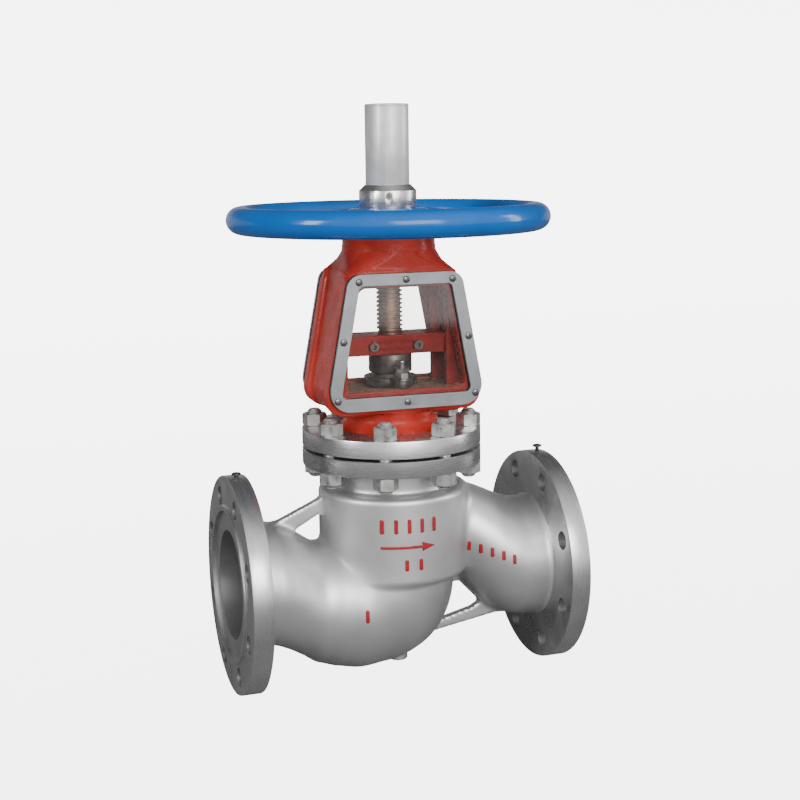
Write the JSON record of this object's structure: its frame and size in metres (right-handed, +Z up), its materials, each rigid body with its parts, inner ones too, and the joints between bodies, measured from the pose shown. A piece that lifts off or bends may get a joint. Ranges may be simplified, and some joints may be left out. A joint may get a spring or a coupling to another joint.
{
  "type": "globe valve",
  "caption": "Flanged globe valve with bolted bonnet, windowed dust-tight yoke, rising stem with anti-rotation guide, handwheel and stem protection tube.",
  "frame": {"origin": "ground centre between the two end flanges, under the crossing of the pipe axis and the stem axis", "axes": "+X along the pipe in the flow direction, +Z up along the stem, +Y away from the marked front"},
  "size_m": [0.48, 0.445, 0.8],
  "materials": {
    "body_casting": "bead-blasted cast stainless steel, machined flange rims",
    "painted_yoke": "gloss orange-red enamel over cast steel, bare machined bonnet disc",
    "painted_wheel": "gloss blue enamel",
    "painted_guide": "gloss red enamel",
    "stem_steel": "greased dark stem steel",
    "machined_steel": "machined steel",
    "bearing_steel": "ground bearing steel",
    "dark_steel": "dark oiled steel",
    "plated_fasteners": "zinc-plated steel",
    "frame_plate": "brushed plate",
    "clear_pane": "clear acrylic sheet",
    "black_rubber": "black sheet gasket",
    "packing": "braided packing",
    "bronze": "machined bronze"
  },
  "bodies": {
    "valve": {"valve_body": "body_casting", "seat_ring": "machined_steel", "earthing_screws": "dark_steel", "bonnet_gasket": "black_rubber", "bonnet_yoke": "painted_yoke", "backseat_bush": "bronze", "bonnet_studs": "plated_fasteners", "bonnet_nuts_upper": "plated_fasteners", "bonnet_nuts_lower": "plated_fasteners", "packing_rings": "packing", "gland_follower": "dark_steel", "gland_flange": "dark_steel", "gland_studs": "plated_fasteners", "gland_washers": "plated_fasteners", "gland_nuts": "plated_fasteners", "gland_lock_nuts": "plated_fasteners", "window_gasket_front": "black_rubber", "window_gasket_rear": "black_rubber", "window_pane_front": "clear_pane", "window_pane_rear": "clear_pane", "window_frame_front": "frame_plate", "window_frame_rear": "frame_plate", "window_screws_front": "machined_steel", "window_screws_rear": "machined_steel", "bearing_cover": "dark_steel", "lower_housing_washer": "bearing_steel", "upper_housing_washer": "bearing_steel"},
    "handwheel": {"handwheel": "painted_wheel", "handwheel_key": "machined_steel", "stem_nut": "bronze", "lock_collar": "machined_steel", "collar_setscrew": "dark_steel", "stem_tube": "machined_steel", "tube_cap": "machined_steel", "lower_shaft_washer": "bearing_steel", "upper_shaft_washer": "bearing_steel"},
    "lower_ball_set": {"lower_cage": "bronze", "lower_balls": "bearing_steel"},
    "upper_ball_set": {"upper_cage": "bronze", "upper_balls": "bearing_steel"},
    "stem": {"stem": "stem_steel", "guide_hub": "dark_steel", "guide_clamp_front": "painted_guide", "guide_clamp_rear": "painted_guide", "guide_screws": "dark_steel"},
    "disc": {"disc": "machined_steel", "disc_nut": "machined_steel"}
  },
  "joints": [
    {"name": "handwheel_spin", "type": "hinge", "parent": "valve", "child": "handwheel", "pos_m": [0, 0, 0.646], "axis": [0, 0, 1], "range_deg": [0, 2700]},
    {"name": "stem_lift", "type": "slide", "parent": "valve", "child": "stem", "axis": [0, 0, 1], "range_m": [0, 0.045]},
    {"name": "disc_swivel", "type": "hinge", "parent": "stem", "child": "disc", "pos_m": [0, 0, 0.18], "axis": [0, 0, 1], "continuous": true},
    {"name": "lower_ball_roll", "type": "hinge", "parent": "valve", "child": "lower_ball_set", "pos_m": [0, 0, 0.589], "axis": [0, 0, 1], "range_deg": [0, 1350.01]},
    {"name": "upper_ball_roll", "type": "hinge", "parent": "valve", "child": "upper_ball_set", "pos_m": [0, 0, 0.615], "axis": [0, 0, 1], "range_deg": [0, 1350.01]}
  ],
  "couplings": [
    {"joint": "stem_lift", "follows": "handwheel_spin", "m_per_rad": 0.00095493},
    {"joint": "lower_ball_roll", "follows": "handwheel_spin", "ratio": 0.5},
    {"joint": "upper_ball_roll", "follows": "handwheel_spin", "ratio": 0.5}
  ]
}
